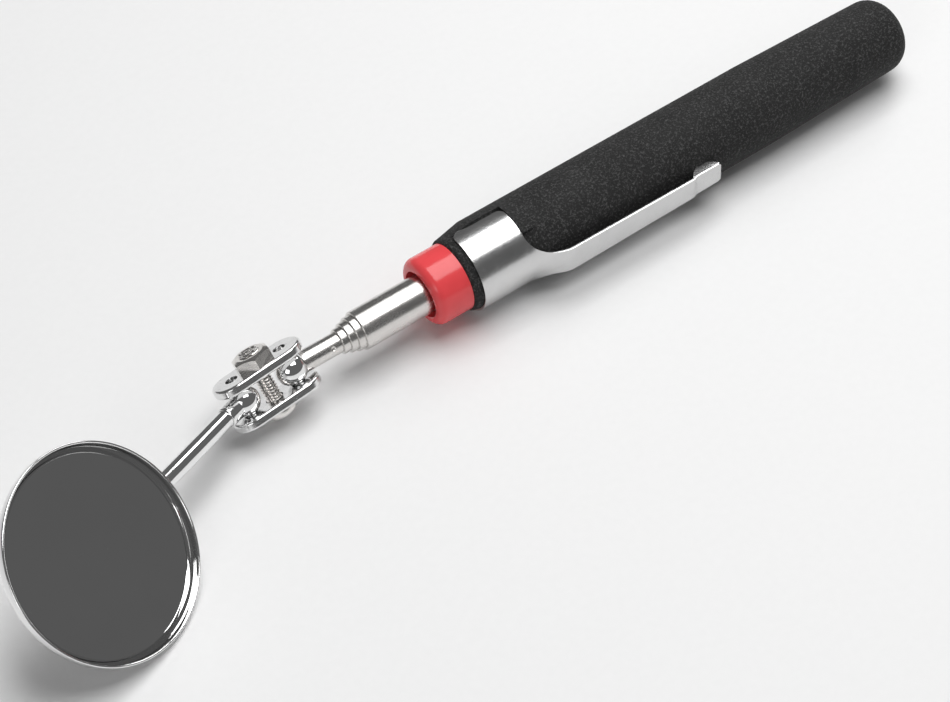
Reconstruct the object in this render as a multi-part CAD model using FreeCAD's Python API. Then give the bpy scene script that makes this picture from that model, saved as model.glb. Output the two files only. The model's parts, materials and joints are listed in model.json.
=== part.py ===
"""Telescoping inspection mirror, modelled lying collapsed with its joint bent.

Frame: millimetres, +Z up. +X runs along the handle from the mirror end to the
rear of the grip, and the origin is on the handle's axis, in the middle of the
plain barrel that the hand holds. Every piece is one node.
"""
import os
import FreeCAD
import Part
from math import asin, cos, degrees, pi, radians, sin, sqrt, tan
from FreeCAD import Placement, Rotation, Vector

# ---------------------------------------------------------------- grip
grip_length = 138.9
hold_from_front = 84.7        # front face of the grip to the origin
grip_diameter = 21.4
grip_shoulder_swell = 0.15    # over the barrel's radius, just behind the front
grip_front_fall = 1.1         # under the barrel's radius, at the front face
grip_front_taper = 8.0
grip_rear_fall = 0.85         # under the barrel's radius, at the rear
barrel_half_length = 8.0      # plain barrel either side of the origin
grip_end_radius = 5.8
grip_end_crown = 0.9
grip_front_edge = 1.0
grip_floor = 11.3             # foam behind the tube's end

# ---------------------------------------------------------------- collar
collar_diameter = 17.7
collar_reach = 9.4            # collar ahead of the grip
collar_lip_radius = 2.2
collar_mouth_diameter = 12.2
collar_mouth_depth = 3.6
collar_spigot_diameter = 14.6
collar_spigot_length = 10.0

# ---------------------------------------------------------------- telescope
tube_reach = 18.4             # outer tube ahead of the collar
smallest_tube_diameter = 5.3
diameter_step = 1.2
tube_wall = 0.4
tip_step = 1.8
lip_length = 0.9
lip_roll = 0.3
running_clearance = 0.04
fit_clearance = 0.02
stage_count = 5
end_plug_length = 6.0
rear_step = 0.6
shoe_length = 10.0
shoe_slot = 0.9
stop_clearance = 0.5
dimple_radius = 0.9
dimple_depth = 0.28
dimple_from_tip = 2.5         # ahead of the second tube's tip
dimple_angle = 150.0          # about +X, from +Y towards +Z
stud_length = 9.5

# ---------------------------------------------------------------- double ball joint
ball_diameter = 8.0
ball_clearance = 0.04
ball_reach = 13.2             # rear ball ahead of the second tube's tip
screw_side_gap = 0.615        # between the screw and each ball
socket_diameter = 3.5         # ring of each ball's seat in a plate
plate_end = 5.2               # past each ball's middle
plate_width = 10.2
plate_thickness = 2.3
plate_edge = 0.6
sight_hole_diameter = 3.2
screw_diameter = 4.17
screw_hole_clearance = 0.2
head_diameter = 7.9
head_height = 2.5
nut_across_flats = 8.73
nut_height = 3.2
nut_turn = 24.0               # degrees past a corner pointing along the plates
staked_end = 0.4

# ---------------------------------------------------------------- mirror head
stem_diameter = 4.4
ferrule_wall = 0.36
ferrule_reach = 3.1           # past the ball
ferrule_edge = 0.4
mirror_distance = 58.4        # front ball to the middle of the mirror
mirror_diameter = 50.0
sheet_thickness = 0.6
cup_depth = 4.7
cup_corner_radius = 3.4
rim_edge = 0.25
glass_clearance = 1.3         # to the cup's wall
glass_thickness = 1.0
glass_recess = 2.6
glass_bevel = 0.3
pad_margin = 3.6              # inside the glass's edge
pad_hole_clearance = 0.2
tang_width = 7.6
tang_thickness = 1.6
tang_from_rim = 2.5           # where the stem is fully flat, inside the cup's edge
tang_taper = 4.5
tang_end = 1.5                # past the innermost rivet
rivet_diameter = 2.4
rivet_head_diameter = 4.4
rivet_inner_head = 0.4
rivet_outer_head = 0.9
rivet_places = (5.0, 13.0)    # from the middle of the mirror

# ---------------------------------------------------------------- pocket clip
clip_sheet = 0.6
clip_band_setback = 2.2       # band behind the grip's front face
clip_band_length = 14.5
clip_band_sink = 0.3          # outer face under the barrel's surface
clip_wrap = 220.0
clip_corner = 2.5
clip_root_fillet = 4.6
clip_root_bend = 5.0
clip_root_run = 1.2
clip_knee_bend = 10.0
clip_ramp_length = 8.6
clip_arm_rise = 2.65          # outer face over the barrel where the arm starts
clip_arm_fall = 0.2
clip_arm_length = 38.1
clip_arm_width = 7.4
clip_waist_width = 6.2
clip_tip_step = 0.45
clip_tip_length = 8.6
clip_tip_width = 5.8
clip_tip_corner = 1.2
clip_bump_height = 2.6
clip_bump_inset = 0.3
clip_bump_margin = 0.2        # from each end of the tip
clip_lift = 6.0               # clears the foam above the ramp's underside
clip_leaf_margin = 4.0        # degrees past the root's fillets
clip_angle = 184.2            # about +X, from +Y towards +Z
clip_gap = 0.05

# ---------------------------------------------------------------- pose as it lies
joint_roll = -29.5
rear_pitch = -5.8
rear_yaw = -3.9
front_yaw = 28.3
front_pitch = 0.0
mirror_spin = 78.7

X_AXIS = Vector(1, 0, 0)
Y_AXIS = Vector(0, 1, 0)
Z_AXIS = Vector(0, 0, 1)
ORIGIN = Vector(0, 0, 0)
FAR = 200.0                   # longer than any cut needs

# ---------------------------------------------------------------- places along the handle
grip_front = -hold_from_front
grip_rear = grip_front + grip_length
collar_front = grip_front - collar_reach
outer_tip = collar_front - tube_reach
tube_rear = grip_rear - grip_floor
plug_front = tube_rear - end_plug_length
tube_radius = [0.5 * (smallest_tube_diameter + diameter_step * k) for k in range(stage_count)]
tube_tip = [outer_tip - tip_step * (stage_count - 1 - k) for k in range(stage_count)]
tube_end = [plug_front - stop_clearance - rear_step * (stage_count - 2 - k) for k in range(stage_count - 1)]
tube_end.append(tube_rear)
ball_x = tube_tip[1] - ball_reach
ball_radius = 0.5 * ball_diameter
seat_radius = ball_radius + ball_clearance
ball_spacing = ball_diameter + screw_diameter + 2 * screw_side_gap
half_gap = sqrt(seat_radius ** 2 - (0.5 * socket_diameter) ** 2)
rim_height = cup_depth + 0.5 * tang_thickness
cup_radius = 0.5 * mirror_diameter
glass_radius = cup_radius - sheet_thickness - glass_clearance
band_front = grip_front + clip_band_setback
band_rear = band_front + clip_band_length
arm_start = band_rear + clip_ramp_length
arm_end = arm_start + clip_arm_length
tip_end = arm_end + clip_tip_length
clip_band_radius = 0.5 * grip_diameter - clip_band_sink
clip_arm_height = 0.5 * grip_diameter + clip_arm_rise
clip_root_half_width = 0.5 * clip_arm_width + clip_root_fillet
clip_leaf_half_angle = degrees(asin(clip_root_half_width / clip_band_radius)) + clip_leaf_margin

# ---------------------------------------------------------------- joint frames
stage_frame = Placement(Vector(ball_x, 0, 0), Rotation(X_AXIS, joint_roll))
rear_ball_frame = stage_frame * Placement(ORIGIN, Rotation(Y_AXIS, rear_pitch))
swivel_frame = rear_ball_frame * Placement(ORIGIN, Rotation(Z_AXIS, rear_yaw))
front_ball_frame = swivel_frame * Placement(Vector(-ball_spacing, 0, 0), Rotation(Z_AXIS, front_yaw))
ferrule_frame = front_ball_frame * Placement(ORIGIN, Rotation(Y_AXIS, front_pitch))
head_frame = ferrule_frame * Placement(ORIGIN, Rotation(X_AXIS, mirror_spin))
clip_frame = Placement(ORIGIN, Rotation(X_AXIS, clip_angle - 90.0))


def rod(x0, x1, radius):
    """A solid cylinder on the X axis."""
    return Part.makeCylinder(radius, x1 - x0, Vector(x0, 0, 0), X_AXIS)


def post(x, z0, z1, radius):
    """A solid cylinder along Z at a place on the X axis."""
    return Part.makeCylinder(radius, z1 - z0, Vector(x, 0, z0), Z_AXIS)


def outline(*steps):
    """A closed wire in the XZ plane. A step is a point, or (middle, end) of an arc."""
    edges = []
    at = Vector(steps[0][0], 0, steps[0][1])
    for step in list(steps[1:]) + [steps[0]]:
        if isinstance(step[0], tuple):
            middle = Vector(step[0][0], 0, step[0][1])
            end = Vector(step[1][0], 0, step[1][1])
            edges.append(Part.Arc(at, middle, end).toShape())
        else:
            end = Vector(step[0], 0, step[1])
            if at.distanceToPoint(end) > 1e-9:
                edges.append(Part.makeLine(at, end))
        at = end
    return Part.Wire(edges)


def turned(*steps):
    """A solid turned about the X axis."""
    return Part.Face(outline(*steps)).revolve(ORIGIN, X_AXIS, 360)


def turned_upright(*steps):
    """A solid turned about the Z axis: its outline gives radius, height."""
    return Part.Face(outline(*steps)).revolve(ORIGIN, Z_AXIS, 360)


def corner(x, r, radius, towards):
    """The middle of a quarter round's arc, from its centre towards a quadrant."""
    share = radius * sqrt(0.5)
    return (x + towards[0] * share, r + towards[1] * share)


def moved(shape, frame):
    shape.Placement = frame * shape.Placement
    return shape


def ball(x, radius):
    return Part.makeSphere(radius, Vector(x, 0, 0))


# ---------------------------------------------------------------- telescope pieces
def tube_blank(k, front):
    """One tube of the telescope, its mouth rolled in to guide the next smaller tube."""
    outer = tube_radius[k]
    inner = outer - tube_wall
    roll_end = (front + lip_roll, outer)
    if k == 0:
        return rod(front, tube_end[k], outer).cut(rod(front - 1, tube_end[k] + 1, inner))
    mouth = tube_radius[k - 1] + running_clearance
    return turned(
        (front, mouth),
        (front, outer - lip_roll),
        (corner(front + lip_roll, outer - lip_roll, lip_roll, (-1, 1)), roll_end),
        (tube_end[k], outer),
        (tube_end[k], inner),
        (front + lip_length, inner),
        (front + lip_length, mouth),
    )


def dimple():
    """The punch mark that pins the ball stud in the smallest tube."""
    depth = tube_radius[0] - dimple_depth + dimple_radius
    turn = radians(dimple_angle)
    place = Vector(tube_tip[1] - dimple_from_tip, depth * cos(turn), depth * sin(turn))
    return Part.makeSphere(dimple_radius, place)


def smallest_tube():
    blank = tube_blank(0, ball_x + 0.5 * ball_radius)
    return blank.cut(ball(ball_x, seat_radius)).cut(dimple())


def ball_stud():
    """The plug behind the rear ball, held in the smallest tube."""
    radius = tube_radius[0] - tube_wall - fit_clearance
    start = ball_x + 0.5 * ball_radius
    return rod(start, start + stud_length, radius).cut(ball(ball_x, seat_radius))


def friction_shoe(k):
    """A split spring sleeve at a tube's rear end, which grips the next larger tube."""
    inner = tube_radius[k] + running_clearance
    outer = tube_radius[k + 1] - tube_wall - running_clearance
    rear = tube_end[k] - stop_clearance
    sleeve = rod(rear - shoe_length, rear, outer).cut(rod(rear - FAR, rear + 1, inner))
    slot = Part.makeBox(shoe_length + 2, shoe_slot, FAR, Vector(rear - shoe_length - 1, -0.5 * shoe_slot, 0))
    return sleeve.cut(slot)


def tube_end_plug():
    return rod(plug_front, tube_rear, tube_radius[-1] - tube_wall - fit_clearance)


# ---------------------------------------------------------------- handle pieces
def front_collar():
    outer = 0.5 * collar_diameter
    mouth = 0.5 * collar_mouth_diameter
    spigot = 0.5 * collar_spigot_diameter
    bore = tube_radius[-1] + fit_clearance
    mouth_round = 0.5 * (outer - mouth - collar_lip_radius)
    spigot_rear = grip_front + collar_spigot_length
    return turned(
        (collar_front + mouth_round, mouth),
        (corner(collar_front + mouth_round, mouth + mouth_round, mouth_round, (-1, -1)),
         (collar_front, mouth + mouth_round)),
        (collar_front, outer - collar_lip_radius),
        (corner(collar_front + collar_lip_radius, outer - collar_lip_radius, collar_lip_radius, (-1, 1)),
         (collar_front + collar_lip_radius, outer)),
        (grip_front, outer),
        (grip_front, spigot),
        (spigot_rear, spigot),
        (spigot_rear, bore),
        (collar_front + collar_mouth_depth, bore),
        (collar_front + collar_mouth_depth, mouth),
    )


def grip_sleeve():
    """The foam grip, with the clip's seat pressed in it."""
    sleeve = grip_blank()
    for press in clip_relief():
        sleeve = sleeve.cut(press)
    return sleeve


def grip_blank():
    barrel = 0.5 * grip_diameter
    front = barrel - grip_front_fall
    rear = barrel - grip_rear_fall
    end = grip_rear - grip_end_crown
    bore = tube_radius[-1] + fit_clearance
    pocket = 0.5 * collar_spigot_diameter + fit_clearance
    pocket_rear = grip_front + collar_spigot_length + fit_clearance
    face = rear - grip_end_radius
    crown_radius = (face ** 2 + grip_end_crown ** 2) / (2 * grip_end_crown)
    half_turn = 0.5 * asin(face / crown_radius)
    crown_middle = (grip_rear - crown_radius * (1 - cos(half_turn)), crown_radius * sin(half_turn))
    return turned(
        (grip_front, pocket),
        (grip_front, front - grip_front_edge),
        (corner(grip_front + grip_front_edge, front - grip_front_edge, grip_front_edge, (-1, 1)),
         (grip_front + grip_front_edge, front)),
        (grip_front + grip_front_taper, barrel + grip_shoulder_swell),
        (-barrel_half_length, barrel),
        (barrel_half_length, barrel),
        (end - grip_end_radius, rear),
        (corner(end - grip_end_radius, face, grip_end_radius, (1, 1)), (end, face)),
        (crown_middle, (grip_rear, 0)),
        (tube_rear + fit_clearance, 0),
        (tube_rear + fit_clearance, bore),
        (pocket_rear, bore),
        (pocket_rear, pocket),
    )


def band_sector(inner, outer, x0, x1, angle):
    """Part of a ring round the handle, centred on the clip's side."""
    start = Vector(x0, 0, 0)
    ring = rod(x0, x1, outer).cut(rod(x0 - 1, x1 + 1, inner))
    wedge = Part.makeCylinder(FAR, x1 - x0, start, X_AXIS, angle)
    wedge.rotate(ORIGIN, X_AXIS, -0.5 * angle)
    return ring.common(wedge)


def tangent_arc(before, corner_point, after, radius):
    """Start, middle and end of the arc that rounds a corner of an XZ outline."""
    at = Vector(corner_point[0], 0, corner_point[1])
    back = (Vector(before[0], 0, before[1]) - at).normalize()
    on = (Vector(after[0], 0, after[1]) - at).normalize()
    half = 0.5 * back.getAngle(on)
    run = radius / tan(half)
    middle = at + (back + on).normalize() * (radius / sin(half) - radius)
    start = at + back * run
    end = at + on * run
    return [(v.x, v.z) for v in (start, middle, end)]


def clip_path(raise_by, start):
    """Side outline of the clip's ramp and arm, as outline steps from the band to the tip."""
    root = clip_band_radius + raise_by
    knee = clip_arm_height + raise_by
    waist = knee - clip_arm_fall
    tip = waist - clip_tip_step
    points = [(start, root), (band_rear + clip_root_run, root), (arm_start, knee),
              (arm_end, waist), (arm_end + 2 * clip_tip_step, tip), (tip_end, tip)]
    first = tangent_arc(*points[0:3], clip_root_bend)
    second = tangent_arc(*points[1:4], clip_knee_bend)
    return [points[0], first[0], (first[1], first[2]), second[0], (second[1], second[2])] + points[3:]


def backwards(steps):
    """The same steps from the other end."""
    flat = []
    for step in steps:
        flat.extend(step if isinstance(step[0], tuple) else [step])
    middles = [step[0] for step in steps if isinstance(step[0], tuple)]
    turned_round = []
    waiting = None
    for point in reversed(flat):
        if point in middles:
            waiting = point
        elif waiting:
            turned_round.append((waiting, point))
            waiting = None
        else:
            turned_round.append(point)
    return turned_round


def clip_leaf(raise_by, thickness, start, half_angle):
    """The ramp and arm as a sheet curved with the handle, centred on the clip's side."""
    steps = clip_path(raise_by, start) + backwards(clip_path(raise_by - thickness, start))
    leaf = Part.Face(outline(*steps)).revolve(ORIGIN, X_AXIS, 2 * half_angle)
    leaf.rotate(ORIGIN, X_AXIS, -half_angle)
    return leaf


def clip_plan():
    """The arm seen from above: a filleted root, narrowing to a tip with rounded corners."""
    wide = 0.5 * clip_arm_width
    waist = 0.5 * clip_waist_width
    tip = 0.5 * clip_tip_width
    root = clip_root_half_width
    swept = clip_root_fillet * (1 - sqrt(0.5))
    fillet_end = band_rear + clip_root_fillet
    edges = []
    for side in (1, -1):
        start = Vector(band_rear, side * root, 0)
        end = Vector(fillet_end, side * wide, 0)
        edges.append(Part.makeLine(Vector(band_rear - 1, side * root, 0), start))
        edges.append(Part.Arc(start, Vector(band_rear + swept, side * (wide + swept), 0), end).toShape())
        edges.append(Part.makeLine(end, Vector(arm_start, side * wide, 0)))
        edges.append(Part.makeLine(Vector(arm_start, side * wide, 0), Vector(arm_end, side * waist, 0)))
        edges.append(Part.makeLine(Vector(arm_end, side * waist, 0), Vector(tip_end, side * tip, 0)))
    edges.append(Part.makeLine(Vector(tip_end, tip, 0), Vector(tip_end, -tip, 0)))
    edges.append(Part.makeLine(Vector(band_rear - 1, root, 0), Vector(band_rear - 1, -root, 0)))
    plan = Part.Face(Part.Wire(Part.__sortEdges__(edges))).extrude(Vector(0, 0, FAR))
    tips = [e for e in plan.Edges
            if e.BoundBox.XLength < 1e-6 and e.BoundBox.ZLength > 1 and abs(e.BoundBox.XMax - tip_end) < 1e-6]
    return plan.makeFillet(clip_tip_corner, tips)


def clip_bump(grow):
    """The half-round pressed into the tip, which digs into the soft grip."""
    waist = clip_arm_height - clip_arm_fall - clip_tip_step
    half_chord = 0.5 * clip_tip_length - clip_bump_margin
    radius = (half_chord ** 2 + clip_bump_height ** 2) / (2 * clip_bump_height)
    face = waist - clip_sheet
    middle = Vector(arm_end + 0.5 * clip_tip_length, 0, face - clip_bump_height + radius)
    width = clip_tip_width - 2 * clip_bump_inset + 2 * grow
    drum = Part.makeCylinder(radius + grow, width, middle - Vector(0, 0.5 * width, 0), Y_AXIS)
    above = Part.makeBox(FAR, FAR, FAR, Vector(-0.5 * FAR, -0.5 * FAR, face + 0.25 * clip_sheet))
    return drum.cut(above)


def pocket_clip():
    band = band_sector(clip_band_radius - clip_sheet, clip_band_radius, band_front, band_rear, clip_wrap)
    ends = [e for e in band.Edges if e.BoundBox.XLength < 1e-6 and e.Length < 2 * clip_sheet]
    band = band.makeFillet(clip_corner, ends)
    arm = clip_leaf(0, clip_sheet, band_rear, clip_leaf_half_angle).common(clip_plan())
    shape = band.fuse(arm).fuse(clip_bump(0)).removeSplitter()
    shape.Placement = clip_frame
    return shape


def clip_relief():
    """What the clip presses out of the soft grip: the band's seat, the ramp's and the bump's."""
    inner = clip_band_radius - clip_sheet - clip_gap
    seat = band_sector(inner, FAR, band_front - clip_gap, band_rear + clip_gap, clip_wrap + 1.0)
    lift = clip_lift - clip_sheet - clip_gap
    ramp = clip_leaf(lift, clip_lift, band_rear + clip_gap, clip_leaf_half_angle)
    return [moved(press, clip_frame) for press in (seat, ramp, clip_bump(clip_gap))]


# ---------------------------------------------------------------- ball joint pieces
def swivel_plate(side):
    """A stadium plate over both balls: side is +1 under the nut, -1 over the head."""
    low = half_gap
    end = 0.5 * (ball_spacing - plate_width) + plate_end
    middle = -0.5 * ball_spacing
    plate = post(middle - end, low, low + plate_thickness, 0.5 * plate_width)
    plate = plate.fuse(post(middle + end, low, low + plate_thickness, 0.5 * plate_width))
    bar = Part.makeBox(2 * end, plate_width, plate_thickness, Vector(middle - end, -0.5 * plate_width, low))
    plate = plate.fuse(bar).removeSplitter()
    rims = [e for e in plate.Edges if e.BoundBox.ZLength < 1e-6]
    plate = plate.makeFillet(plate_edge, rims)
    for x in (0.0, -ball_spacing):
        plate = plate.cut(ball(x, seat_radius))
        plate = plate.cut(post(x, 0, FAR, 0.5 * sight_hole_diameter))
    plate = plate.cut(post(middle, 0, FAR, 0.5 * screw_diameter + screw_hole_clearance))
    if side < 0:
        plate.rotate(ORIGIN, X_AXIS, 180)
    return plate


def clamp_screw():
    """Pan-head screw through both plates, its end staked over the nut."""
    outside = half_gap + plate_thickness
    middle = -0.5 * ball_spacing
    shank = post(middle, -outside, outside + nut_height + staked_end, 0.5 * screw_diameter)
    radius = 0.5 * head_diameter
    brim = 0.3 * head_height
    crown = -outside - head_height
    shoulder = -outside - brim
    head = turned_upright(
        (0, -outside),
        (radius, -outside),
        (radius, shoulder),
        ((0.8 * radius, crown + 0.3 * (shoulder - crown)), (0.4 * radius, crown)),
        (0, crown),
    )
    head.translate(Vector(middle, 0, 0))
    return shank.fuse(head)


def clamp_nut():
    """Hexagon nut, chamfered on its outer face."""
    low = half_gap + plate_thickness
    middle = -0.5 * ball_spacing
    corner_radius = nut_across_flats / sqrt(3)
    points = [Vector(corner_radius * cos(pi * k / 3), corner_radius * sin(pi * k / 3), low) for k in range(7)]
    hexagon = Part.Face(Part.makePolygon(points)).extrude(Vector(0, 0, nut_height))
    hexagon.rotate(ORIGIN, Z_AXIS, nut_turn)
    rise = corner_radius - 0.5 * nut_across_flats
    dome = turned_upright(
        (0, low),
        (corner_radius, low),
        (corner_radius, low + nut_height - rise),
        (0.5 * nut_across_flats - rise, low + nut_height),
        (0, low + nut_height),
    )
    nut = hexagon.common(dome)
    nut.translate(Vector(middle, 0, 0))
    return nut.cut(post(middle, 0, FAR, 0.5 * screw_diameter + fit_clearance))


# ---------------------------------------------------------------- mirror head pieces
def front_ferrule():
    inner = 0.5 * stem_diameter + running_clearance
    radius = inner + ferrule_wall
    rear = -0.5 * ball_radius
    front = -seat_radius - ferrule_reach
    sleeve = rod(front, rear, radius)
    rims = [e for e in sleeve.Edges if abs(e.BoundBox.XMax - front) < 1e-6 and e.BoundBox.XLength < 1e-6]
    sleeve = sleeve.makeFillet(ferrule_edge, rims)
    bore = rod(front - 1, rear + 1, inner)
    return sleeve.cut(bore).cut(ball(0, seat_radius))


def stadium_section(x, width, height):
    """A flattened round section across the stem, in four matching edges."""
    r = 0.5 * height
    y = 0.5 * width - r
    s = r * sin(radians(45))
    c = r * cos(radians(45))
    if y > 0:
        top = Part.makeLine(Vector(x, -y, r), Vector(x, y, r))
        right = Part.Arc(Vector(x, y, r), Vector(x, y + r, 0), Vector(x, y, -r)).toShape()
        bottom = Part.makeLine(Vector(x, y, -r), Vector(x, -y, -r))
        left = Part.Arc(Vector(x, -y, -r), Vector(x, -y - r, 0), Vector(x, -y, r)).toShape()
        return Part.Wire([top, right, bottom, left])
    top = Part.Arc(Vector(x, -s, c), Vector(x, 0, r), Vector(x, s, c)).toShape()
    right = Part.Arc(Vector(x, s, c), Vector(x, r, 0), Vector(x, s, -c)).toShape()
    bottom = Part.Arc(Vector(x, s, -c), Vector(x, 0, -r), Vector(x, -s, -c)).toShape()
    left = Part.Arc(Vector(x, -s, -c), Vector(x, -r, 0), Vector(x, -s, c)).toShape()
    return Part.Wire([top, right, bottom, left])


def mirror_stem():
    """Round stem, its far end flattened into a tang that lies on the cup's back."""
    flat_x = -mirror_distance + cup_radius - tang_from_rim
    round_x = flat_x + tang_taper
    end_x = -mirror_distance + rivet_places[0] - rivet_head_diameter - tang_end
    stem = rod(round_x, -0.5 * ball_radius, 0.5 * stem_diameter).cut(ball(0, seat_radius))
    neck = Part.makeLoft([
        stadium_section(round_x, stem_diameter, stem_diameter),
        stadium_section(flat_x, tang_width, tang_thickness),
    ], True, True)
    tang = Part.Face(stadium_section(end_x, tang_width, tang_thickness)).extrude(Vector(flat_x - end_x, 0, 0))
    rounding = post(end_x + 0.5 * tang_width, -FAR, FAR, 0.5 * tang_width)
    keep = Part.makeBox(FAR, FAR, 2 * FAR, Vector(end_x + 0.5 * tang_width, -0.5 * FAR, -FAR)).fuse(rounding)
    stem = stem.fuse(neck).fuse(tang.common(keep))
    for place in rivet_places:
        stem = stem.cut(post(place - mirror_distance, -FAR, FAR, 0.5 * rivet_diameter + fit_clearance))
    return stem


def mirror_housing():
    """Spun cup: a flat back, a rounded corner and a short wall with a rounded rim."""
    back = 0.5 * tang_thickness
    inner = cup_radius - sheet_thickness
    corner_x = cup_radius - cup_corner_radius
    corner_z = back + cup_corner_radius
    inner_radius = cup_corner_radius - sheet_thickness
    cup = turned_upright(
        (0, back),
        (corner_x, back),
        (corner(corner_x, corner_z, cup_corner_radius, (1, -1)), (cup_radius, corner_z)),
        (cup_radius, rim_height - rim_edge),
        (corner(cup_radius - rim_edge, rim_height - rim_edge, rim_edge, (1, 1)),
         (cup_radius - rim_edge, rim_height)),
        (inner + rim_edge, rim_height),
        (corner(inner + rim_edge, rim_height - rim_edge, rim_edge, (-1, 1)), (inner, rim_height - rim_edge)),
        (inner, corner_z),
        (corner(corner_x, corner_z, inner_radius, (1, -1)), (corner_x, back + sheet_thickness)),
        (0, back + sheet_thickness),
    )
    cup.translate(Vector(-mirror_distance, 0, 0))
    for place in rivet_places:
        cup = cup.cut(post(place - mirror_distance, -FAR, FAR, 0.5 * rivet_diameter + fit_clearance))
    return cup


def mirror_glass():
    top = rim_height - glass_recess
    disc = post(-mirror_distance, top - glass_thickness, top, glass_radius)
    rims = [e for e in disc.Edges if e.BoundBox.ZLength < 1e-6 and abs(e.BoundBox.ZMax - top) < 1e-6]
    return disc.makeChamfer(glass_bevel, rims)


def mirror_pad():
    """Adhesive foam between the cup's floor and the glass, holed over the rivets."""
    low = 0.5 * tang_thickness + sheet_thickness
    top = rim_height - glass_recess - glass_thickness
    pad = post(-mirror_distance, low, top, glass_radius - pad_margin)
    for place in rivet_places:
        pad = pad.cut(post(place - mirror_distance, -FAR, FAR, 0.5 * rivet_head_diameter + pad_hole_clearance))
    return pad


def stem_rivet(place):
    back = 0.5 * tang_thickness
    inside = back + sheet_thickness
    radius = 0.5 * rivet_head_diameter
    rivet = turned_upright(
        (0, -back - rivet_outer_head),
        ((0.75 * radius, -back - 0.6 * rivet_outer_head), (radius, -back)),
        (0.5 * rivet_diameter, -back),
        (0.5 * rivet_diameter, inside),
        (radius, inside),
        (radius, inside + rivet_inner_head),
        (0, inside + rivet_inner_head),
    )
    rivet.translate(Vector(place - mirror_distance, 0, 0))
    return rivet


def build():
    """Every node by name."""
    nodes = {}
    nodes["mirror_housing"] = moved(mirror_housing(), head_frame)
    nodes["mirror_glass"] = moved(mirror_glass(), head_frame)
    nodes["mirror_pad"] = moved(mirror_pad(), head_frame)
    nodes["mirror_stem"] = moved(mirror_stem(), head_frame)
    rivets = [moved(stem_rivet(place), head_frame) for place in rivet_places]
    nodes["stem_rivets"] = Part.makeCompound(rivets)
    nodes["front_ferrule"] = moved(front_ferrule(), ferrule_frame)
    nodes["front_ball"] = moved(ball(0, ball_radius), front_ball_frame)
    nodes["swivel_plate_top"] = moved(swivel_plate(1), swivel_frame)
    nodes["swivel_plate_bottom"] = moved(swivel_plate(-1), swivel_frame)
    nodes["clamp_screw"] = moved(clamp_screw(), swivel_frame)
    nodes["clamp_nut"] = moved(clamp_nut(), swivel_frame)
    nodes["rear_ball"] = moved(ball(0, ball_radius), rear_ball_frame)
    nodes["ball_stud"] = ball_stud()
    nodes["tube_stage_1"] = smallest_tube()
    for k in range(1, stage_count - 1):
        nodes["tube_stage_%d" % (k + 1)] = tube_blank(k, tube_tip[k])
    nodes["outer_tube"] = tube_blank(stage_count - 1, tube_tip[-1])
    for k in range(stage_count - 1):
        nodes["friction_shoe_%d" % (k + 1)] = friction_shoe(k)
    nodes["tube_end_plug"] = tube_end_plug()
    nodes["front_collar"] = front_collar()
    nodes["grip_sleeve"] = grip_sleeve()
    nodes["pocket_clip"] = pocket_clip()
    return nodes


os.makedirs("parts", exist_ok=True)
for name, shape in build().items():
    shape.exportStep("parts/%s.step" % name)
    print("%-20s solids %d  volume %.1f  valid %s" % (name, len(shape.Solids), shape.Volume, shape.isValid()))
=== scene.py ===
import json
from math import asin, cos, pi, radians, sin, sqrt, tau
import bpy
import bmesh
from mathutils import Matrix, Vector


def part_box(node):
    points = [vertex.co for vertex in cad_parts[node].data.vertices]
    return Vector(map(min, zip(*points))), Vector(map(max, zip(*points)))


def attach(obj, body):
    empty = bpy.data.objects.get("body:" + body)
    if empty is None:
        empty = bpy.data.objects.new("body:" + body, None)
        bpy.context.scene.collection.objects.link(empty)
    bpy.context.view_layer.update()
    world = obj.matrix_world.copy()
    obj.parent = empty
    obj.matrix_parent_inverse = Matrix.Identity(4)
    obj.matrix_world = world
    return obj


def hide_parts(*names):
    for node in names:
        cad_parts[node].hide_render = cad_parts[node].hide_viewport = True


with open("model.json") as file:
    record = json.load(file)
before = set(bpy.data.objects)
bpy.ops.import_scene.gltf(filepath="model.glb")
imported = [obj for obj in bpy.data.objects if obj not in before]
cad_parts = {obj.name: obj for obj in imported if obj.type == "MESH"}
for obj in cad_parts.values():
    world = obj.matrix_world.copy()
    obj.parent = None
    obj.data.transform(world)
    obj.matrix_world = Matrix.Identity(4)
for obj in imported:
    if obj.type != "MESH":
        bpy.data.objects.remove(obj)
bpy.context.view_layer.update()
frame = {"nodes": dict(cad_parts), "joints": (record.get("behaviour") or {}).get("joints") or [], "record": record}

MM = 0.001
nodes = frame["nodes"]
joints = {joint["name"]: joint for joint in frame["joints"]}

# ---------------------------------------------------------------- places taken from the frame
rear_ball_at = Vector(joints["rear_ball_yaw"]["pos_m"])
front_ball_at = Vector(joints["front_ball_yaw"]["pos_m"])
screw_axis = Vector(joints["rear_ball_yaw"]["axis"]).normalized()
stem_axis = Vector(joints["stem_spin"]["axis"]).normalized()
floor_height = min(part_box(name)[0].z for name in nodes)


# ---------------------------------------------------------------- shader maths
class Value:
    """A shader socket that takes part in Python sums."""

    def __init__(self, board, socket):
        self.board = board
        self.socket = socket

    def maths(self, operation, first, second):
        made = self.board.node("ShaderNodeMath", {0: first, 1: second}, operation=operation)
        return Value(self.board, made.outputs[0])

    def __add__(self, other):
        return self.maths("ADD", self, other)

    def __radd__(self, other):
        return self.maths("ADD", other, self)

    def __sub__(self, other):
        return self.maths("SUBTRACT", self, other)

    def __rsub__(self, other):
        return self.maths("SUBTRACT", other, self)

    def __mul__(self, other):
        return self.maths("MULTIPLY", self, other)

    def __rmul__(self, other):
        return self.maths("MULTIPLY", other, self)

    def clamped(self):
        made = self.board.node("ShaderNodeClamp", {"Value": self})
        return Value(self.board, made.outputs[0])


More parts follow.
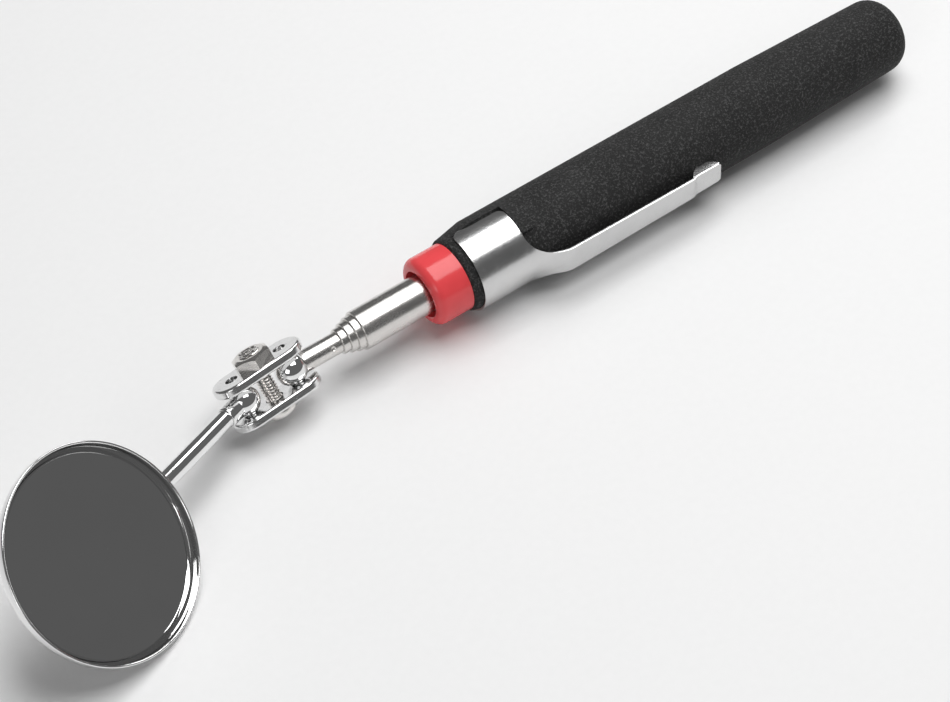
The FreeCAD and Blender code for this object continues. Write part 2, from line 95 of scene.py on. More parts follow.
class Board:
    """One material's node tree, with a Principled shader at its end."""

    def __init__(self, name, **constants):
        self.material = bpy.data.materials.new(name)
        self.material.use_nodes = True
        self.tree = self.material.node_tree
        self.tree.nodes.clear()
        self.shader = self.node("ShaderNodeBsdfPrincipled")
        output = self.tree.nodes.new("ShaderNodeOutputMaterial")
        self.tree.links.new(self.shader.outputs[0], output.inputs[0])
        for key, value in constants.items():
            self.feed(key.replace("_", " ").title().replace("Ior", "IOR"), value)
        self.coordinates = self.node("ShaderNodeTexCoord").outputs["Object"]

    def node(self, kind, inputs=None, **settings):
        """One node, its properties from settings and its sockets from inputs."""
        made = self.tree.nodes.new(kind)
        for key, value in settings.items():
            setattr(made, key, value)
        for key, value in (inputs or {}).items():
            self.join(value, made.inputs[key])
        return made

    def join(self, value, socket):
        if isinstance(value, Value):
            value = value.socket
        if isinstance(value, bpy.types.NodeSocket):
            self.tree.links.new(value, socket)
        else:
            socket.default_value = value

    def feed(self, socket_name, value):
        self.join(value, self.shader.inputs[socket_name])

    def mapped(self, stretch=(1, 1, 1), turn=(0, 0, 0)):
        """Object coordinates, scaled per axis after a turn."""
        turned = self.node("ShaderNodeMapping", {"Vector": self.coordinates, "Rotation": turn})
        scaled = self.node("ShaderNodeMapping", {"Vector": turned.outputs[0], "Scale": stretch})
        return scaled.outputs[0]

    def noise(self, size, detail=2.0, roughness=0.5, stretch=(1, 1, 1), turn=(0, 0, 0)):
        """Noise whose lumps are about size metres across, from 0 to 1."""
        made = self.node("ShaderNodeTexNoise", {
            "Vector": self.mapped(stretch, turn), "Scale": 1 / size,
            "Detail": detail, "Roughness": roughness})
        return Value(self, made.outputs["Fac"])

    def cells(self, size):
        """Distance to the nearest of many scattered points, about size metres apart."""
        made = self.node("ShaderNodeTexVoronoi", {"Vector": self.coordinates, "Scale": 1 / size})
        return Value(self, made.outputs["Distance"])

    def blend(self, share, colour_a, colour_b):
        made = self.node("ShaderNodeMix", data_type="RGBA")
        self.join(share, made.inputs[0])
        self.join(colour_a, made.inputs[6])
        self.join(colour_b, made.inputs[7])
        return made.outputs[2]

    def bump(self, height, depth, strength=1.0):
        """Raises the surface by up to depth metres where height is 1."""
        made = self.node("ShaderNodeBump", {"Height": height, "Distance": depth, "Strength": strength})
        self.feed("Normal", made.outputs[0])


def grey(level, warm=0.0):
    """A grey, or a slightly warm one, with its alpha."""
    return (level * (1 + warm), level, level * (1 - warm), 1.0)


# ---------------------------------------------------------------- materials
def bright_plate(name="bright_plate"):
    """Bright chrome plate over polished steel, with faint wiping marks."""
    board = Board(name, metallic=1.0)
    haze = board.noise(9 * MM, 4.0)
    wipes = board.noise(0.5 * MM, 3.0, stretch=(0.12, 1, 1), turn=(0.3, 0.2, 0.6))
    board.feed("Base Color", board.blend(haze, grey(0.80), grey(0.90)))
    board.feed("Roughness", 0.035 + 0.05 * haze * wipes)
    board.bump(wipes, 0.004 * MM, 0.35)
    return board.material


def pressed_plate():
    """Plated steel with the soft waviness that a press leaves."""
    board = Board("pressed_plate", metallic=1.0)
    waves = board.noise(3.2 * MM, 1.5)
    grain = board.noise(0.35 * MM, 3.0)
    scuffs = (board.noise(0.25 * MM, 2.0, stretch=(0.1, 1, 1), turn=(0.4, 0.1, 1.1)) - 0.55).clamped()
    board.feed("Base Color", board.blend(waves, grey(0.72), grey(0.86)))
    board.feed("Roughness", (0.09 + 0.10 * grain + 0.7 * scuffs).clamped())
    board.bump(waves + 0.06 * grain, 0.16 * MM, 0.55)
    return board.material


def zinc_plate():
    """Bright zinc on the screw and nut: a little yellow and cloudy."""
    board = Board("zinc_plate", metallic=1.0)
    cloud = board.noise(1.8 * MM, 4.0)
    grain = board.noise(0.2 * MM, 3.0)
    board.feed("Base Color", board.blend(cloud, grey(0.66, 0.02), grey(0.84, 0.04)))
    board.feed("Roughness", 0.14 + 0.22 * cloud * grain)
    board.bump(grain + 0.8 * cloud, 0.010 * MM, 0.35)
    return board.material


def drawn_nickel():
    """Satin nickel tube, marked lengthwise by the die that drew it."""
    board = Board("drawn_nickel", metallic=1.0)
    lines = board.noise(0.22 * MM, 3.0, 0.6, stretch=(0.008, 1, 1))
    mottle = board.noise(2.4 * MM, 4.0, 0.65, stretch=(0.35, 1, 1))
    fine = board.noise(0.12 * MM, 2.0, stretch=(0.25, 1, 1))
    tone = (0.6 * mottle + 0.4 * lines).clamped()
    board.feed("Base Color", board.blend(tone, grey(0.56, 0.035), grey(0.82, 0.02)))
    board.feed("Roughness", (0.13 + 0.16 * mottle + 0.10 * fine).clamped())
    board.bump(0.6 * lines + 0.4 * fine, 0.012 * MM, 0.5)
    return board.material


def spring_steel():
    """The clip's light polish: fine curved rubbing marks over plated spring steel."""
    board = Board("spring_steel", metallic=1.0)
    rubs = board.noise(0.45 * MM, 3.0, 0.6, stretch=(0.08, 1, 0.6), turn=(0.2, 0.3, 0.5))
    cloud = board.noise(4 * MM, 3.0)
    tone = (0.5 * cloud + 0.5 * rubs).clamped()
    board.feed("Base Color", board.blend(tone, grey(0.54), grey(0.72)))
    board.feed("Roughness", (0.13 + 0.14 * rubs + 0.06 * cloud).clamped())
    board.bump(rubs, 0.02 * MM, 0.5)
    return board.material


def silvered_glass():
    """The mirror: silver behind clear glass, with a trace of dust and wiping."""
    board = Board("silvered_glass", metallic=1.0)
    haze = board.noise(11 * MM, 3.0)
    specks = board.cells(2.6 * MM)
    dust = (0.055 - specks).clamped() * 6.0
    board.feed("Base Color", board.blend(haze, grey(0.66), grey(0.70)))
    board.feed("Roughness", (0.012 + 0.02 * haze + dust).clamped())
    return board.material


def red_vinyl():
    """Glossy red collar with a soft moulded skin."""
    board = Board("red_vinyl", specular_ior_level=0.4)
    skin = board.noise(0.9 * MM, 2.0)
    cloud = board.noise(5 * MM, 2.0)
    board.feed("Base Color", board.blend(cloud, (0.76, 0.062, 0.070, 1), (0.86, 0.085, 0.095, 1)))
    board.feed("Roughness", 0.13 + 0.08 * skin)
    board.bump(skin, 0.012 * MM, 0.25)
    return board.material


def black_foam():
    """Closed-cell foam: a fine grain of open skin cells, with paler broken rims."""
    board = Board("black_foam", specular_ior_level=0.3)
    grain = board.noise(0.62 * MM, 2.0, 0.7)
    fine = board.noise(0.30 * MM, 2.0, 0.6)
    pits = board.cells(0.9 * MM)
    cloud = board.noise(9 * MM, 3.0)
    rims = ((0.6 * grain + 0.4 * fine - 0.50) * 7.0).clamped()
    tone = (0.80 * rims + 0.20 * cloud).clamped()
    board.feed("Base Color", board.blend(tone, grey(0.006), grey(0.085)))
    board.feed("Roughness", (0.66 + 0.26 * grain).clamped())
    board.bump(0.9 * grain + 0.5 * fine + 0.5 * pits, 0.22 * MM, 1.0)
    return board.material


def spring_brass():
    """Brass of the sprung sleeves inside the tubes, a little cloudy."""
    board = Board("spring_brass", metallic=1.0)
    cloud = board.noise(1.5 * MM, 3.0)
    board.feed("Base Color", board.blend(cloud, (0.60, 0.42, 0.16, 1), (0.78, 0.58, 0.28, 1)))
    board.feed("Roughness", 0.22 + 0.15 * cloud)
    return board.material


def pad_foam():
    """Pale open foam behind the glass."""
    board = Board("pad_foam")
    cells = board.cells(0.5 * MM)
    board.feed("Base Color", board.blend(cells, grey(0.62), grey(0.80)))
    board.feed("Roughness", 0.75 + 0.2 * cells)
    board.bump(cells, 0.1 * MM, 0.6)
    return board.material


def inner_plastic():
    """Dark matt plastic of the plug at the tube's end."""
    board = Board("inner_plastic")
    grain = board.noise(0.4 * MM, 2.0)
    board.feed("Base Color", board.blend(grain, grey(0.02), grey(0.035)))
    board.feed("Roughness", 0.45 + 0.2 * grain)
    return board.material


finishes = {
    "chrome": bright_plate(), "mirror_glass": silvered_glass(), "foam_pad": pad_foam(),
    "steel_ball": bright_plate("ball_plate"), "plate_steel": pressed_plate(), "zinc_steel": zinc_plate(),
    "tube_nickel": drawn_nickel(), "spring_brass": spring_brass(), "inner_plastic": inner_plastic(),
    "red_plastic": red_vinyl(), "black_foam": black_foam(), "clip_steel": spring_steel(),
}
slot_of = {part["node"]: part["material_slot"] for part in frame["record"]["subparts"]}
for name, node in nodes.items():
    node.data.materials.clear()
    node.data.materials.append(finishes[slot_of[name]])


# ---------------------------------------------------------------- mesh making
GRID_WELD = 0.0001 * MM
SHELL_WELD = 0.001 * MM
JUST_PAST = 0.001 * MM
SHEARED_ANGLE = radians(50)


def placed(origin, x_axis, z_axis):
    """A frame at origin with those X and Z directions."""
    x = x_axis.normalized()
    y = z_axis.cross(x).normalized()
    z = x.cross(y)
    return Matrix.Translation(origin) @ Matrix((x, y, z)).transposed().to_4x4()


def finish_piece(name, mesh, body, slot, replaced=(), sharp=40):
    """Links a mesh as a smooth-shaded piece of a body; edges over sharp degrees stay hard."""
    piece = bpy.data.objects.new(name, mesh)
    bpy.context.scene.collection.objects.link(piece)
    mesh.materials.clear()
    mesh.materials.append(finishes[slot])
    mesh.polygons.foreach_set("use_smooth", [True] * len(mesh.polygons))
    mesh.set_sharp_from_angle(angle=radians(sharp))
    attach(piece, body)
    if replaced:
        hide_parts(*replaced)
    return piece


def welded(name, verts, faces, reach):
    """A mesh whose points closer than reach are joined and whose faces all look outwards."""
    mesh = bpy.data.meshes.new(name)
    mesh.from_pydata(verts, [], faces)
    made = bmesh.new()
    made.from_mesh(mesh)
    bmesh.ops.remove_doubles(made, verts=made.verts, dist=reach)
    bmesh.ops.recalc_face_normals(made, faces=made.faces)
    made.to_mesh(mesh)
    made.free()
    return mesh


def grid_mesh(name, rings, place, cap_ends=False):
    """A mesh from rings of points: each ring is closed, and each joins the next."""
    verts = [place @ point for ring in rings for point in ring]
    around = len(rings[0])
    faces = []
    for i in range(len(rings) - 1):
        for k in range(around):
            m = (k + 1) % around
            faces.append((i * around + k, (i + 1) * around + k, (i + 1) * around + m, i * around + m))
    if cap_ends:
        faces.append(tuple(range(around)))
        faces.append(tuple(range((len(rings) - 1) * around, len(rings) * around))[::-1])
    return welded(name, verts, faces, GRID_WELD)


def arc_points(x, r, radius, start, end, count):
    """Points of a round in a lathe outline, angles in degrees from the axis direction."""
    turns = [radians(start + (end - start) * i / count) for i in range(count + 1)]
    return [(x + radius * cos(t), r + radius * sin(t)) for t in turns]


def round_ring(x, radius, around, shape=None):
    """A ring about X; shape(turn), where given, returns a share of the radius and a lift along X."""
    ring = []
    for k in range(around):
        turn = tau * k / around
        share, lift = shape(turn) if shape else (1.0, 0.0)
        ring.append(Vector((x + lift, radius * share * cos(turn), radius * share * sin(turn))))
    return ring


def lathe(name, outline, place, around):
    """An outline of (along X, radius) points turned about X."""
    return grid_mesh(name, [round_ring(x, radius, around) for x, radius in outline], place)


# ---------------------------------------------------------------- geometry node trees
class Tree:
    """A geometry node tree with named inputs, read by one modifier."""

    def __init__(self, name, **sizes):
        self.tree = bpy.data.node_groups.new(name, "GeometryNodeTree")
        self.tree.interface.new_socket("Geometry", in_out="OUTPUT", socket_type="NodeSocketGeometry")
        self.sizes = sizes
        for key in sizes:
            self.tree.interface.new_socket(key, in_out="INPUT", socket_type="NodeSocketFloat")
        self.given = self.node("NodeGroupInput").outputs

    def node(self, kind, inputs=None, **settings):
        made = self.tree.nodes.new(kind)
        for key, value in settings.items():
            setattr(made, key, value)
        for key, value in (inputs or {}).items():
            if isinstance(value, bpy.types.NodeSocket):
                self.tree.links.new(value, made.inputs[key])
            else:
                made.inputs[key].default_value = value
        return made

    def maths(self, operation, first, second):
        return self.node("ShaderNodeMath", {0: first, 1: second}, operation=operation).outputs[0]

    def mesh(self, name, shape, material):
        """The tree's result as a plain mesh of its own."""
        solid = self.node("GeometryNodeRealizeInstances", {0: shape}).outputs[0]
        painted = self.node("GeometryNodeSetMaterial", {0: solid, "Material": material}).outputs[0]
        self.node("NodeGroupOutput", {0: painted})
        blank = bpy.data.objects.new(name, bpy.data.meshes.new(name))
        bpy.context.scene.collection.objects.link(blank)
        modifier = blank.modifiers.new(name, "NODES")
        modifier.node_group = self.tree
        for item in self.tree.interface.items_tree:
            if item.in_out == "INPUT":
                modifier[item.identifier] = float(self.sizes[item.name])
        shown = blank.evaluated_get(bpy.context.evaluated_depsgraph_get())
        made = bpy.data.meshes.new_from_object(shown)
        blank.modifiers.remove(modifier)
        bpy.data.objects.remove(blank)
        return made


FLANK_SHARE = 0.47                # half of the ridge's foot, against the pitch
TURN_STEPS = 40                   # points in one turn of the thread
CORE_SIDES = 48


def rolled_thread(radius, pitch, depth, length):
    """A screw's shank along Z: a core, and one ridge swept along a helix round it."""
    tree = Tree("rolled_thread", Radius=radius, Pitch=pitch, Depth=depth, Length=length)
    given = tree.given
    core = tree.maths("SUBTRACT", given["Radius"], given["Depth"])
    turns = tree.maths("DIVIDE", given["Length"], given["Pitch"])
    helix = tree.node("GeometryNodeCurveSpiral", {
        "Resolution": TURN_STEPS, "Rotations": turns, "Start Radius": core, "End Radius": core,
        "Height": given["Length"]})
    level = tree.node("GeometryNodeSetCurveNormal", {0: helix.outputs[0]}, mode="Z_UP").outputs[0]
    flank = tree.maths("MULTIPLY", given["Pitch"], FLANK_SHARE)
    ridge = tree.node("GeometryNodeCurvePrimitiveCircle", {"Resolution": 4, "Radius": 1.0})
    size = tree.node("ShaderNodeCombineXYZ", {0: given["Depth"], 1: flank, 2: 1.0}).outputs[0]
    section = tree.node("GeometryNodeTransform", {0: ridge.outputs[0], "Scale": size}).outputs[0]
    thread = tree.node("GeometryNodeCurveToMesh", {0: level, 1: section, "Fill Caps": True}).outputs[0]
    middle = tree.maths("MULTIPLY", given["Length"], 0.5)
    bar = tree.node("GeometryNodeMeshCylinder", {
        "Vertices": CORE_SIDES, "Radius": core, "Depth": given["Length"]}).outputs[0]
    lift = tree.node("ShaderNodeCombineXYZ", {2: middle}).outputs[0]
    bar = tree.node("GeometryNodeTransform", {0: bar, "Translation": lift}).outputs[0]
    joined = tree.node("GeometryNodeJoinGeometry")
    tree.tree.links.new(bar, joined.inputs[0])
    tree.tree.links.new(thread, joined.inputs[0])
    return tree.mesh("rolled_thread", joined.outputs[0], finishes["zinc_steel"])


# ---------------------------------------------------------------- pieces drawn finer than the CAD
SCREW_RADIUS = 4.17 / 2 * MM
THREAD_PITCH = 0.79 * MM
THREAD_DEPTH = 0.40 * MM
HEAD_RADIUS = 3.95 * MM
HEAD_HEIGHT = 2.5 * MM
HEAD_SIDES = 96
STAKED_END = 0.4 * MM
STAKED_RADIUS = 2.75 * MM
STAKED_SIDES = 72
# The staked end, from its rim inwards: share of its height, share of its radius, crumpling in mm.
STAKED_STEPS = (
    (0.0, 0.70, 0.0), (0.02, 0.97, 0.0), (0.20, 1.0, 0.0), (0.55, 0.95, 0.03),
    (0.80, 0.86, 0.07), (0.35, 0.72, 0.08), (0.30, 0.62, 0.10), (0.80, 0.50, 0.09),
    (0.72, 0.34, 0.10), (0.30, 0.22, 0.08), (0.55, 0.08, 0.02),
)
# The pan head, from its flat underside to the recess: distance from it in mm, share of its radius.
HEAD_STEPS = (
    (0.0, 0.5), (0.0, 0.97), (0.06, 1.0), (0.9, 1.0), (1.25, 0.975), (1.7, 0.90),
    (2.1, 0.77), (2.35, 0.62), (2.48, 0.48), (2.5, 0.475),
)
# The cross recess: depth from the head's crown in mm, share of the head's radius.
RECESS_STEPS = ((0.05, 0.46), (1.3, 0.34), (1.5, 0.12))
RECESS_WAIST = 0.30               # of the recess's radius, between two of its arms


def along(node, axis, at):
    """Lowest and highest reach of a CAD node along an axis, measured from a place."""
    reach = [(v.co - at).dot(axis) for v in nodes[node].data.vertices]
    return min(reach), max(reach)


def clamping_screw():
    """Pan-head machine screw: a rolled thread, a cross recess, and an end staked over the nut."""
    middle = 0.5 * (rear_ball_at + front_ball_at)
    place = placed(middle, screw_axis, stem_axis)
    low, high = along("clamp_screw", screw_axis, middle)
    under_head = low + HEAD_HEIGHT
    staked_from = high - STAKED_END

    thread = rolled_thread(SCREW_RADIUS, THREAD_PITCH, THREAD_DEPTH, staked_from - under_head)
    thread.transform(place @ Matrix.Translation((under_head, 0, 0)) @ Matrix.Rotation(pi / 2, 4, "Y"))
    finish_piece("screw_thread", thread, "swivel", "zinc_steel", replaced=("clamp_screw",), sharp=30)

    def crushed(amount):
        """An uneven outline, and a face crumpled by up to about that many millimetres."""
        return lambda turn: (1 + 0.05 * sin(4 * turn + 1.0) + 0.03 * sin(9 * turn),
                             amount * MM * (sin(3 * turn + 0.6) * sin(5 * turn) + 0.5 * sin(11 * turn)))

    def crossed(turn):
        """A cross of four arms that narrow to the waist between them."""
        return RECESS_WAIST + (1 - RECESS_WAIST) * abs(cos(2 * turn)) ** 5, 0.0

    rings = [round_ring(staked_from + rise * STAKED_END, STAKED_RADIUS * share, STAKED_SIDES, crushed(crush))
             for rise, share, crush in STAKED_STEPS]
    staked = grid_mesh("screw_end", rings, place, cap_ends=True)
    finish_piece("screw_end", staked, "swivel", "zinc_steel", sharp=50)

    rings = [round_ring(under_head - drop * MM, HEAD_RADIUS * share, HEAD_SIDES)
             for drop, share in HEAD_STEPS]
    rings += [round_ring(low + depth * MM, HEAD_RADIUS * share, HEAD_SIDES, crossed)
              for depth, share in RECESS_STEPS]
    head = grid_mesh("screw_head", rings, place, cap_ends=True)
    finish_piece("screw_head", head, "swivel", "zinc_steel")


clamping_screw()

CLIP_SHEET = 0.6 * MM
CLIP_BAND_LENGTH = 14.5 * MM
CLIP_BAND_RADIUS = 10.4 * MM
CLIP_WRAP = radians(110)          # half of the band's turn
CLIP_CORNER = 2.5 * MM
CLIP_ARM_HEIGHT = 13.3 * MM
CLIP_RAMP = 10.0 * MM
CLIP_ARM_HALF = 3.7 * MM
CLIP_WAIST_HALF = 3.05 * MM
CLIP_ROOT_ROUND = 6.0 * MM
CLIP_TIP = 8.6 * MM
CLIP_TIP_STEP = 0.5 * MM
CLIP_TIP_ROUND = 1.0 * MM
CLIP_TURN = radians(184.2)        # about +X, from +Y towards +Z
CLIP_LEVEL = 0.001                # share of the band's curve that counts as flat
CLIP_BEND_LEAD = 0.5 * MM         # the band starts to open out this far inside its rear edge
CLIP_BEND_SHARE = 0.9             # of the ramp, until the sheet is flat
CLIP_LAP = 0.3 * MM               # the arm's mesh starts this far inside the band's
CLIP_SHEARED_EDGE = 0.09 * MM
CLIP_COLUMNS = 64
CLIP_CORNER_ROWS = 8
CLIP_ROOT_ROWS = 14
CLIP_ARM_ROWS = 40
CLIP_TIP_ROWS = 16
BUMP_HEIGHT = 2.6 * MM
BUMP_MARGIN = 0.2 * MM            # from each end of the tip
BUMP_INSET = 0.05 * MM
BUMP_SINK = 0.6 * CLIP_SHEET      # its chord under the sheet's outer face
BUMP_EDGE = 0.15 * MM
BUMP_HALF_ROWS = 16


def eased(share):
    """0 to 1 with level ends."""
    share = max(0.0, min(1.0, share))
    return share * share * (3 - 2 * share)


def inset(radius, distance):
    """How far a rounded corner stands back from its straight edge, at a distance from the corner."""
    short = radius - min(distance, radius)
    return radius - sqrt(max(0.0, radius ** 2 - short ** 2))


def shell(name, outer, inner):
    """A closed sheet between two equal grids of points."""
    across = len(outer[0])
    verts = [point for grid in (outer, inner) for row in grid for point in row]
    lower = len(outer) * across
    faces = []
    for i in range(len(outer) - 1):
        for k in range(across - 1):
            a, b = i * across + k, (i + 1) * across + k
            faces.append((a, a + 1, b + 1, b))
            faces.append((lower + a, lower + b, lower + b + 1, lower + a + 1))
    for i in range(len(outer) - 1):
        for k in (0, across - 1):
            a, b = i * across + k, (i + 1) * across + k
            faces.append((a, b, lower + b, lower + a))
    for k in range(across - 1):
        for row in (0, len(outer) - 1):
            a = row * across + k
            faces.append((a, a + 1, lower + a + 1, lower + a))
    return welded(name, verts, faces, SHELL_WELD)


def bevelled(mesh, width):
    """The mesh with its sheared edges slightly rounded."""
    made = bmesh.new()
    made.from_mesh(mesh)
    sharp = [edge for edge in made.edges if edge.is_manifold and edge.calc_face_angle() > SHEARED_ANGLE]
    bmesh.ops.bevel(
        made, geom=sharp, offset=width, segments=2, profile=0.6, affect="EDGES", clamp_overlap=True)
    made.to_mesh(mesh)
    made.free()
    return mesh


def clip_sheet_piece():
    """Clip of one bent sheet: a round band, a root that flattens as it rises, a flat arm, a tip."""
    low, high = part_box("pocket_clip")
    band_front = low.x
    band_rear = band_front + CLIP_BAND_LENGTH
    arm_start = band_rear + CLIP_RAMP
    tip_end = high.x
    tip_start = tip_end - CLIP_TIP

    def half_width(x):
        """Half of the sheet's developed width."""
        if x <= band_rear:
            corners = inset(CLIP_CORNER, x - band_front) + inset(CLIP_CORNER, band_rear - x)
            return CLIP_WRAP * CLIP_BAND_RADIUS - corners
        share = max(0.0, (x - arm_start) / (tip_end - arm_start))
        straight = CLIP_ARM_HALF + (CLIP_WAIST_HALF - CLIP_ARM_HALF) * share
        return straight - inset(CLIP_TIP_ROUND, tip_end - x) + inset(CLIP_ROOT_ROUND, x - band_rear)

    def height(x):
        rise = CLIP_BAND_RADIUS + (CLIP_ARM_HEIGHT - CLIP_BAND_RADIUS) * eased((x - band_rear) / CLIP_RAMP)
        return rise - CLIP_TIP_STEP * eased((x - tip_start) / (2 * CLIP_TIP_STEP))

    def bend(x):
        """How much of the band's roundness is left."""
        return 1 - eased((x - band_rear + CLIP_BEND_LEAD) / (CLIP_BEND_SHARE * CLIP_RAMP))

    def surface(x, sideways, depth):
        """A point of the sheet: sideways is measured along it, depth is under its outer face."""
        curve = max(bend(x), CLIP_LEVEL) / CLIP_BAND_RADIUS
        turn = sideways * curve
        out = (cos(turn) - 1) / curve - depth * cos(turn)
        aside = sin(turn) / curve - depth * sin(turn)
        return Vector((x, aside, height(x) + out))

    def grids(stations, widths):
        outer, inner = [], []
        for x, half in zip(stations, widths):
            steps = [half * (2 * k / CLIP_COLUMNS - 1) for k in range(CLIP_COLUMNS + 1)]
            outer.append([surface(x, side, 0.0) for side in steps])
            inner.append([surface(x, side, CLIP_SHEET) for side in steps])
        return outer, inner

    def crowded(length, rows):
        """Distances from 0 to length, closer together at 0."""
        return [length * (1 - cos(pi / 2 * k / rows)) for k in range(rows + 1)]

    corners = crowded(CLIP_CORNER, CLIP_CORNER_ROWS)
    band_at = [band_front + c for c in corners] + [band_rear - c for c in reversed(corners)]
    arm_at = [band_rear + c for c in crowded(CLIP_ROOT_ROUND, CLIP_ROOT_ROWS)]
    root_end = arm_at[-1]
    flat_end = tip_end - CLIP_TIP_ROUND
    arm_at += [root_end + (tip_start - root_end) * k / CLIP_ARM_ROWS for k in range(1, CLIP_ARM_ROWS + 1)]
    arm_at += [tip_start + (flat_end - tip_start) * k / CLIP_TIP_ROWS for k in range(1, CLIP_TIP_ROWS + 1)]
    arm_at += [tip_end - c for c in reversed(crowded(CLIP_TIP_ROUND, CLIP_CORNER_ROWS)[:-1])]
    place = Matrix.Rotation(CLIP_TURN - pi / 2, 4, "X")

    band = shell("clip_band", *grids(band_at, [half_width(x) for x in band_at]))
    band.transform(place)
    band = bevelled(band, CLIP_SHEARED_EDGE)
    finish_piece("clip_band", band, "handle", "clip_steel", replaced=("pocket_clip",))
    arm_at[0] -= CLIP_LAP
    widths = [half_width(max(x, band_rear + JUST_PAST)) for x in arm_at]
    arm = shell("clip_arm", *grids(arm_at, widths))
    arm.transform(place)
    finish_piece("clip_arm", bevelled(arm, CLIP_SHEARED_EDGE), "handle", "clip_steel")

    half_chord = 0.5 * CLIP_TIP - BUMP_MARGIN
    radius = (half_chord ** 2 + BUMP_HEIGHT ** 2) / (2 * BUMP_HEIGHT)
    chord_height = CLIP_ARM_HEIGHT - CLIP_TIP_STEP - BUMP_SINK
    reach = asin(min(1.0, half_chord / radius))
    middle = tip_end - 0.5 * CLIP_TIP
    turns = [reach * (k / BUMP_HALF_ROWS - 1) for k in range(2 * BUMP_HALF_ROWS + 1)]
    rings = []
    for side in (-1, 1):
        aside = side * (CLIP_WAIST_HALF - BUMP_INSET)
        rings.append([Vector((middle + radius * sin(turn), aside,
                              chord_height - BUMP_HEIGHT + radius * (1 - cos(turn)))) for turn in turns])
    bump = grid_mesh("clip_bump", rings, place, cap_ends=True)
    finish_piece("clip_bump", bevelled(bump, BUMP_EDGE), "handle", "clip_steel")


clip_sheet_piece()

CUP_RADIUS = 25.0 * MM
CUP_SHEET = 0.6 * MM
CUP_CORNER = 3.4 * MM
CUP_RIM_ROUND = 0.28 * MM
CUP_SIDES = 288
CUP_CORNER_ROWS = 16
CUP_INNER_ROWS = 14
CUP_RIM_ROWS = 6
CUP_FLOOR_RINGS = (0.0, 0.35, 0.7, 0.97)    # shares of the flat floor's radius


def middle_of(node, axes):
    """Middle of a CAD node's reach along three directions at right angles."""
    return sum((0.5 * sum(along(node, axis, Vector())) * axis for axis in axes), Vector())


def spun_cup():
    """The mirror's cup, spun from one disc: a flat back, a rounded corner and a rolled rim."""
    axis = max(nodes["mirror_glass"].data.polygons, key=lambda face: face.area).normal.copy()
    across = axis.cross(stem_axis).normalized()
    axes = (axis, across, axis.cross(across))
    centre = middle_of("mirror_glass", axes)
    if axis.dot(centre - middle_of("mirror_pad", axes)) < 0:
        axis = -axis
    back, rim = along("mirror_housing", axis, centre)
    inner = CUP_RADIUS - CUP_SHEET
    turn_at = (back + CUP_CORNER, CUP_RADIUS - CUP_CORNER)
    lip = rim - CUP_RIM_ROUND
    outline = [(back, share * turn_at[1]) for share in CUP_FLOOR_RINGS]
    outline += arc_points(*turn_at, CUP_CORNER, 180, 90, CUP_CORNER_ROWS)
    outline += arc_points(lip, CUP_RADIUS - CUP_RIM_ROUND, CUP_RIM_ROUND, 90, 0, CUP_RIM_ROWS)
    outline += arc_points(lip, inner + CUP_RIM_ROUND, CUP_RIM_ROUND, 0, -90, CUP_RIM_ROWS)
    outline += arc_points(*turn_at, CUP_CORNER - CUP_SHEET, 90, 180, CUP_INNER_ROWS)
    outline += [(back + CUP_SHEET, share * turn_at[1]) for share in reversed(CUP_FLOOR_RINGS)]
    cup = lathe("mirror_cup", outline, placed(centre, axis, stem_axis), CUP_SIDES)
    finish_piece("mirror_cup", cup, "mirror_head", "chrome", replaced=("mirror_housing",), sharp=50)


spun_cup()


# ---------------------------------------------------------------- studio
CAMERA_AT = Vector((-0.30281, -0.38168, 0.43960))
CAMERA_LOOK = Vector((0.34435, 0.59323, -0.72766))
CAMERA_ROLL = radians(-7.44)
CAMERA_LENS = 98.5                # millimetres
CAMERA_NEAR = 0.01
ROOM_LIGHT = 0.13
FLOOR_REACH = 4.0
FLOOR_GAP = 0.02 * MM             # under the lowest piece
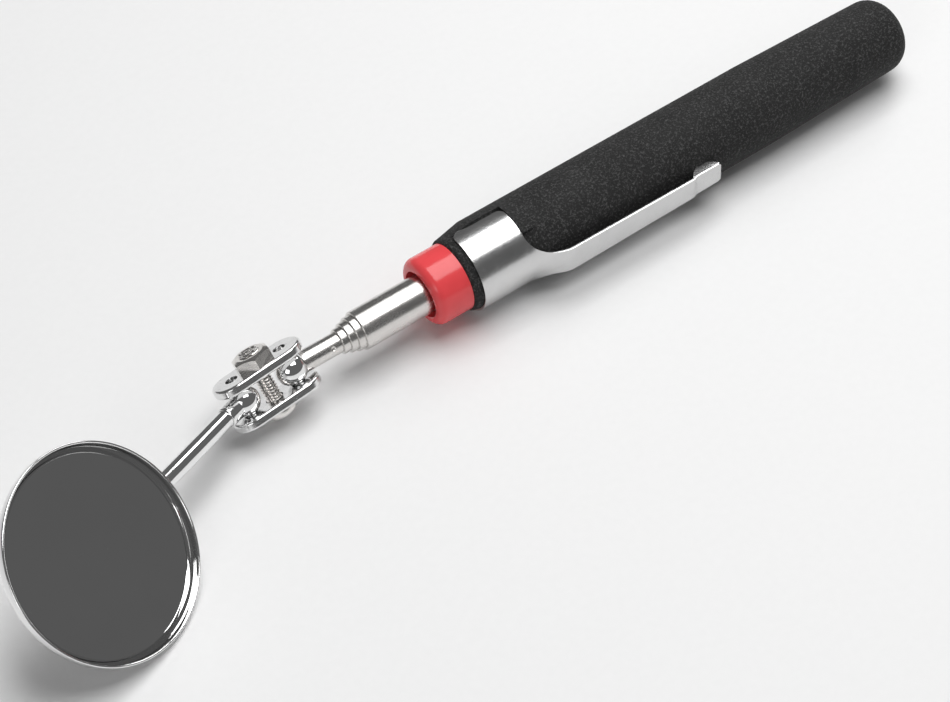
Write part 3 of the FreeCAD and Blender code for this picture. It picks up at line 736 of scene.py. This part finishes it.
# Soft boxes: name, place, what it points at, size, watts.
SOFT_BOXES = (
    ("overhead_box", (0.15, -0.02, 0.95), (-0.08, 0.0, 0.0), (0.9, 0.62), 8.6),
    ("back_box", (0.72, 0.42, 0.70), (-0.16, 0.0, 0.0), (0.42, 0.60), 3.2),
    ("side_box", (-0.85, -0.55, 0.50), (-0.08, 0.0, 0.0), (0.45, 0.45), 1.5),
)


def aimed(at, direction):
    """A frame at a place, looking in a direction as a camera or a lamp does."""
    return Matrix.Translation(at) @ direction.to_track_quat("-Z", "Y").to_matrix().to_4x4()


def area_light(name, at, aim, size, power):
    lamp = bpy.data.lights.new(name, "AREA")
    lamp.shape = "RECTANGLE"
    lamp.size, lamp.size_y = size
    lamp.energy = power
    light = bpy.data.objects.new(name, lamp)
    light.matrix_world = aimed(Vector(at), Vector(aim) - Vector(at))
    bpy.context.scene.collection.objects.link(light)


def main_camera():
    """The one camera, turned a little about its line of sight."""
    camera = bpy.data.objects.new("camera", bpy.data.cameras.new("camera"))
    camera.data.lens = CAMERA_LENS
    camera.data.clip_start = CAMERA_NEAR
    camera.matrix_world = aimed(CAMERA_AT, CAMERA_LOOK) @ Matrix.Rotation(CAMERA_ROLL, 4, "Z")
    bpy.context.scene.collection.objects.link(camera)
    bpy.context.scene.camera = camera


def studio():
    """A pale table in a dim room, under three large soft boxes."""
    world = bpy.data.worlds.new("studio")
    world.use_nodes = True
    world.node_tree.nodes["Background"].inputs["Color"].default_value = grey(1.0)
    world.node_tree.nodes["Background"].inputs["Strength"].default_value = ROOM_LIGHT
    bpy.context.scene.world = world
    for box in SOFT_BOXES:
        area_light(*box)
    bpy.context.scene.view_settings.view_transform = "Standard"
    mesh = bpy.data.meshes.new("studio_floor")
    corners = [(x * FLOOR_REACH, y * FLOOR_REACH, floor_height - FLOOR_GAP)
               for x, y in ((-1, -1), (1, -1), (1, 1), (-1, 1))]
    mesh.from_pydata(corners, [], [(0, 1, 2, 3)])
    board = Board("paper")
    fibre = board.noise(2 * MM, 3.0)
    board.feed("Base Color", board.blend(fibre, grey(0.84), grey(0.87)))
    board.feed("Roughness", 0.7 + 0.1 * fibre)
    mesh.materials.append(board.material)
    floor = bpy.data.objects.new("studio_floor", mesh)
    bpy.context.scene.collection.objects.link(floor)


main_camera()
studio()
